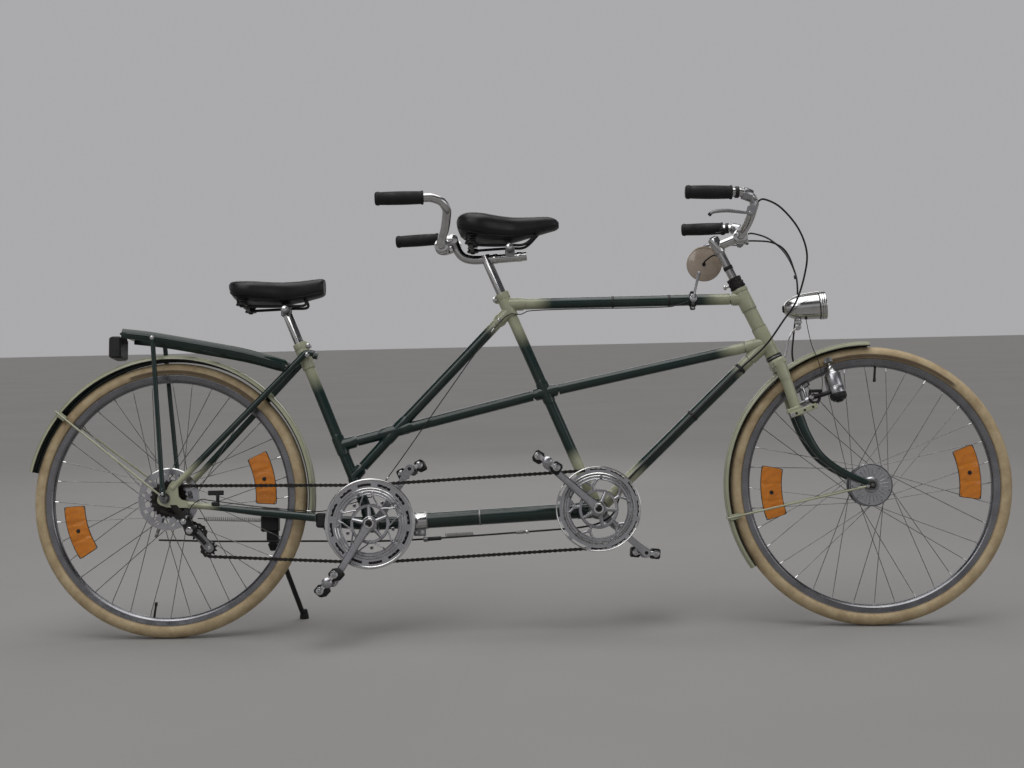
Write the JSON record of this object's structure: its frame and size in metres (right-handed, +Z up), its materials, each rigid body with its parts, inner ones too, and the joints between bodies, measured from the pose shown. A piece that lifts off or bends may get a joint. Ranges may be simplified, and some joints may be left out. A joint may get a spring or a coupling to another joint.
{
  "type": "tandem bicycle",
  "caption": "Two-seat lugged-frame touring tandem with mudguards, rear rack, dynamo lamp, chain drive on one side and a side stand.",
  "frame": {"origin": "centre of the bounding box, on the floor the tyres and the stand's foot rest on", "axes": "+X towards the front wheel, +Y to the riders' left (the stand's side), +Z up from the floor"},
  "size_m": [2.4848, 0.597, 1.1036],
  "materials": {
    "frame_green": "gloss",
    "cream": "gloss",
    "chrome": "polished",
    "alloy": "satin",
    "steel": "satin",
    "black": "matte",
    "saddle_black": "satin",
    "black_plastic": "satin",
    "tyre": "matte",
    "orange": "gloss",
    "chain": "satin",
    "mirror": "polished"
  },
  "bodies": {
    "frame": {"head_tube": "cream", "top_and_captain_seat_tube": "frame_green", "lateral_tube_front": "frame_green", "down_tube": "frame_green", "stoker_seat_and_keel_tube": "frame_green", "crossed_rear_tubes": "frame_green", "rear_stays_right": "frame_green", "rear_stays_left": "frame_green", "rear_mudguard": "cream", "rear_rack": "frame_green", "tail_lamp": "black_plastic", "timing_chain": "chain", "drive_chain": "chain", "derailleur": "chain", "rear_brake_cable": "black_plastic", "shift_cable": "black_plastic"},
    "steering": {"fork": "cream", "stem": "chrome", "captain_handlebar": "chrome", "captain_grip_right": "black", "captain_grip_left": "black", "front_mudguard": "cream", "headlight": "chrome", "front_brake_cable": "black_plastic"},
    "front_wheel": {"front_tyre": "tyre", "front_wheel": "alloy", "front_reflector_forward": "orange", "front_reflector_aft": "orange"},
    "rear_wheel": {"rear_tyre": "tyre", "rear_wheel": "alloy", "rear_reflector_forward": "orange", "rear_reflector_aft": "orange"},
    "freewheel": {"freewheel": "chain"},
    "front_cranks": {"front_chainset": "alloy", "front_crank_left": "alloy"},
    "rear_cranks": {"rear_chainset": "alloy", "rear_crank_left": "alloy"},
    "front_pedal_right": {"front_pedal_right": "black"},
    "front_pedal_left": {"front_pedal_left": "black"},
    "rear_pedal_right": {"rear_pedal_right": "black"},
    "rear_pedal_left": {"rear_pedal_left": "black"},
    "guide_pulley": {"guide_pulley": "black_plastic"},
    "tension_pulley": {"tension_pulley": "black_plastic"},
    "brake_lever_right": {"brake_lever_right": "alloy"},
    "brake_lever_left": {"brake_lever_left": "alloy"},
    "front_brake_arm_right": {"front_brake_arm_right": "alloy"},
    "front_brake_arm_left": {"front_brake_arm_left": "alloy"},
    "rear_brake_arm": {"rear_brake_arm": "steel"},
    "captain_post": {"captain_seatpost": "chrome", "captain_saddle": "saddle_black", "stoker_handlebar": "chrome", "stoker_grip_right": "black", "stoker_grip_left": "black"},
    "stoker_post": {"stoker_seatpost": "chrome", "stoker_saddle": "saddle_black"},
    "shift_lever": {"shift_lever": "alloy"},
    "dynamo": {"dynamo": "alloy"},
    "dynamo_roller": {"dynamo_roller": "steel"},
    "mirror": {"mirror": "mirror"},
    "side_stand": {"side_stand": "black_plastic"}
  },
  "joints": [
    {"name": "steering_turn", "type": "hinge", "parent": "frame", "child": "steering", "pos_m": [0.68542, -0.03116, 0.63554], "axis": [-0.4199, 0.1373, 0.8971], "range_deg": [-40, 42], "deforming": ["rear_brake_cable"]},
    {"name": "front_wheel_spin", "type": "hinge", "parent": "steering", "child": "front_wheel", "pos_m": [0.89336, -0.08058, 0.34771], "axis": [0.0728, 0.9904, -0.1175], "continuous": true},
    {"name": "rear_wheel_spin", "type": "hinge", "parent": "frame", "child": "rear_wheel", "pos_m": [-0.88045, -0.07543, 0.34619], "axis": [0, 0.9885, -0.1513], "continuous": true},
    {"name": "front_crank_spin", "type": "hinge", "parent": "frame", "child": "front_cranks", "pos_m": [0.20757, -0.08247, 0.30022], "axis": [0, 0.9885, -0.1513], "continuous": true},
    {"name": "rear_crank_spin", "type": "hinge", "parent": "frame", "child": "rear_cranks", "pos_m": [-0.36542, -0.08644, 0.27426], "axis": [0, 0.9885, -0.1513], "continuous": true},
    {"name": "freewheel_spin", "type": "hinge", "parent": "frame", "child": "freewheel", "pos_m": [-0.88045, -0.07543, 0.34619], "axis": [0, 0.9885, -0.1513], "continuous": true},
    {"name": "guide_pulley_spin", "type": "hinge", "parent": "frame", "child": "guide_pulley", "pos_m": [-0.80241, -0.08874, 0.25924], "axis": [0, 0.9885, -0.1513], "continuous": true},
    {"name": "tension_pulley_spin", "type": "hinge", "parent": "frame", "child": "tension_pulley", "pos_m": [-0.77039, -0.09456, 0.2212], "axis": [0, 0.9885, -0.1513], "continuous": true},
    {"name": "front_pedal_right_spin", "type": "hinge", "parent": "front_cranks", "child": "front_pedal_right", "pos_m": [0.08267, -0.15592, 0.42513], "axis": [0, 0.9885, -0.1513], "continuous": true},
    {"name": "front_pedal_left_spin", "type": "hinge", "parent": "front_cranks", "child": "front_pedal_left", "pos_m": [0.33247, -0.01692, 0.17653], "axis": [0, 0.9885, -0.1513], "continuous": true},
    {"name": "rear_pedal_right_spin", "type": "hinge", "parent": "rear_cranks", "child": "rear_pedal_right", "pos_m": [-0.45438, -0.19844, 0.14723], "axis": [0, 0.9885, -0.1513], "continuous": true},
    {"name": "rear_pedal_left_spin", "type": "hinge", "parent": "rear_cranks", "child": "rear_pedal_left", "pos_m": [-0.27646, 0.01766, 0.40251], "axis": [0, 0.9885, -0.1513], "continuous": true},
    {"name": "brake_lever_right_squeeze", "type": "hinge", "parent": "steering", "child": "brake_lever_right", "pos_m": [0.58748, -0.20627, 1.03078], "axis": [0.0728, 0.9904, -0.1175], "range_deg": [0, 11], "stiffness_Nm_per_rad": 1, "springref_deg": -17.19},
    {"name": "brake_lever_left_squeeze", "type": "hinge", "parent": "steering", "child": "brake_lever_left", "pos_m": [0.62053, 0.24337, 0.97744], "axis": [0.0728, 0.9904, -0.1175], "range_deg": [0, 11], "stiffness_Nm_per_rad": 1, "springref_deg": -17.19},
    {"name": "front_brake_arm_right_close", "type": "hinge", "parent": "steering", "child": "front_brake_arm_right", "pos_m": [0.72943, -0.09161, 0.56173], "axis": [0.9373, -0.0277, 0.3474], "range_deg": [-2.9, 0]},
    {"name": "front_brake_arm_left_close", "type": "hinge", "parent": "steering", "child": "front_brake_arm_left", "pos_m": [0.73642, 0.00347, 0.55045], "axis": [0.9373, -0.0277, 0.3474], "range_deg": [0, 2.9]},
    {"name": "rear_brake_arm_pull", "type": "hinge", "parent": "frame", "child": "rear_brake_arm", "pos_m": [-0.91444, -0.02036, 0.30942], "axis": [0, 0.9885, -0.1513], "range_deg": [-9.5, 0]},
    {"name": "captain_post_height", "type": "slide", "parent": "frame", "child": "captain_post", "axis": [-0.3857, 0.1396, 0.912], "range_m": [-0.02, 0.05]},
    {"name": "stoker_post_height", "type": "slide", "parent": "frame", "child": "stoker_post", "axis": [-0.3687, 0.1406, 0.9188], "range_m": [-0.02, 0.05]},
    {"name": "shift_lever_turn", "type": "hinge", "parent": "frame", "child": "shift_lever", "pos_m": [0.46433, -0.0238, 0.82905], "axis": [0, 0.9885, -0.1513], "range_deg": [-55, 12]},
    {"name": "dynamo_tilt", "type": "hinge", "parent": "steering", "child": "dynamo", "pos_m": [0.75525, -0.09974, 0.57734], "axis": [0.9973, -0.0721, 0.0102], "range_deg": [0, 8]},
    {"name": "dynamo_roller_spin", "type": "hinge", "parent": "dynamo", "child": "dynamo_roller", "pos_m": [0.79656, -0.07095, 0.66261], "axis": [0.2041, -0.291, -0.9347], "continuous": true},
    {"name": "mirror_swivel", "type": "hinge", "parent": "steering", "child": "mirror", "pos_m": [0.50019, 0.05446, 0.91911], "axis": [-0.0017, 0.1179, 0.993], "range_deg": [-12, 60]},
    {"name": "side_stand_fold", "type": "hinge", "parent": "frame", "child": "side_stand", "pos_m": [-0.6304, 0.00239, 0.22008], "axis": [0.1536, 0.896, 0.4167], "range_deg": [0, 95]}
  ],
  "couplings": [
    {"joint": "rear_crank_spin", "follows": "front_crank_spin", "ratio": 1},
    {"joint": "freewheel_spin", "follows": "front_crank_spin", "ratio": 3},
    {"joint": "guide_pulley_spin", "follows": "front_crank_spin", "ratio": -4.8},
    {"joint": "tension_pulley_spin", "follows": "front_crank_spin", "ratio": 4.8},
    {"joint": "front_brake_arm_right_close", "follows": "brake_lever_left_squeeze", "ratio": -0.25},
    {"joint": "front_brake_arm_left_close", "follows": "brake_lever_left_squeeze", "ratio": 0.25},
    {"joint": "rear_brake_arm_pull", "follows": "brake_lever_right_squeeze", "ratio": -0.8}
  ]
}
